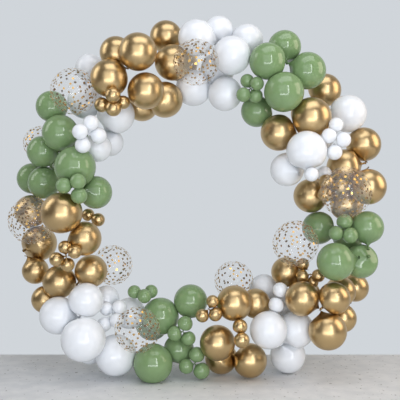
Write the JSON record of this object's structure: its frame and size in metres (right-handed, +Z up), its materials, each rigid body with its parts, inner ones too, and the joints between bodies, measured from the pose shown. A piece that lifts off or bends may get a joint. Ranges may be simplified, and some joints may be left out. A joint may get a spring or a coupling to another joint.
{
  "type": "balloon garland",
  "caption": "Free round ring of bunched latex balloons in sage green, white, chrome gold and clear with gold confetti, hung from its top.",
  "frame": {"origin": "top of the ring's core line, where the garland is tied up", "axes": "+Z up, X across the ring, -Y out of the ring's front, toward the viewer"},
  "size_m": [2.7836, 0.908, 2.6793],
  "materials": {
    "chrome_gold_latex": "chrome gold latex, satin metallic sheen",
    "white_latex": "white latex, glossy",
    "sage_latex": "sage green latex, glossy",
    "clear_confetti_latex": "clear latex with gold foil confetti clinging inside"
  },
  "bodies": {
    "root": {"confetti_12h": "clear_confetti_latex", "confetti_3h": "clear_confetti_latex", "confetti_4h": "clear_confetti_latex", "confetti_5h": "clear_confetti_latex", "confetti_7h": "clear_confetti_latex", "confetti_8h": "clear_confetti_latex", "confetti_9h": "clear_confetti_latex", "confetti_10h_outer": "clear_confetti_latex", "confetti_10h": "clear_confetti_latex", "white_four_12h": "white_latex", "white_three_12h": "white_latex", "sage_three_1h_outer": "sage_latex", "sage_three_1h": "sage_latex", "sage_small_four_1h": "sage_latex", "gold_pair_2h": "chrome_gold_latex", "gold_pair_2h_outer": "chrome_gold_latex", "white_pair_2h": "white_latex", "white_three_2h": "white_latex", "white_small_3h": "white_latex", "white_small_four_2h": "white_latex", "gold_three_3h": "chrome_gold_latex", "gold_three_3h_inner": "chrome_gold_latex", "gold_small_three_3h": "chrome_gold_latex", "sage_pair_3h": "sage_latex", "sage_three_4h": "sage_latex", "sage_small_three_3h": "sage_latex", "gold_three_4h": "chrome_gold_latex", "gold_three_4h_outer": "chrome_gold_latex", "gold_pair_4h": "chrome_gold_latex", "gold_small_four_4h": "chrome_gold_latex", "white_three_5h": "white_latex", "white_pair_5h": "white_latex", "white_small_pair_5h": "white_latex", "gold_pair_6h": "chrome_gold_latex", "gold_three_6h": "chrome_gold_latex", "gold_small_three_6h": "chrome_gold_latex", "gold_small_pair_6h": "chrome_gold_latex", "sage_three_6h": "sage_latex", "sage_pair_6h": "sage_latex", "sage_small_three_6h": "sage_latex", "sage_small_three_6h_low": "sage_latex", "sage_small_three_7h": "sage_latex", "white_three_8h": "white_latex", "white_pair_7h": "white_latex", "white_six_7h": "white_latex", "gold_three_8h": "chrome_gold_latex", "gold_pair_9h": "chrome_gold_latex", "gold_three_9h": "chrome_gold_latex", "gold_small_four_8h": "chrome_gold_latex", "gold_small_pair_9h": "chrome_gold_latex", "sage_three_9h": "sage_latex", "sage_four_10h": "sage_latex", "sage_five_9h": "sage_latex", "white_pair_10h": "white_latex", "white_four_10h": "white_latex", "white_small_four_10h": "white_latex", "gold_three_11h": "chrome_gold_latex", "gold_four_11h": "chrome_gold_latex", "gold_three_11h_inner": "chrome_gold_latex", "gold_small_four_11h": "chrome_gold_latex"}
  },
  "joints": []
}
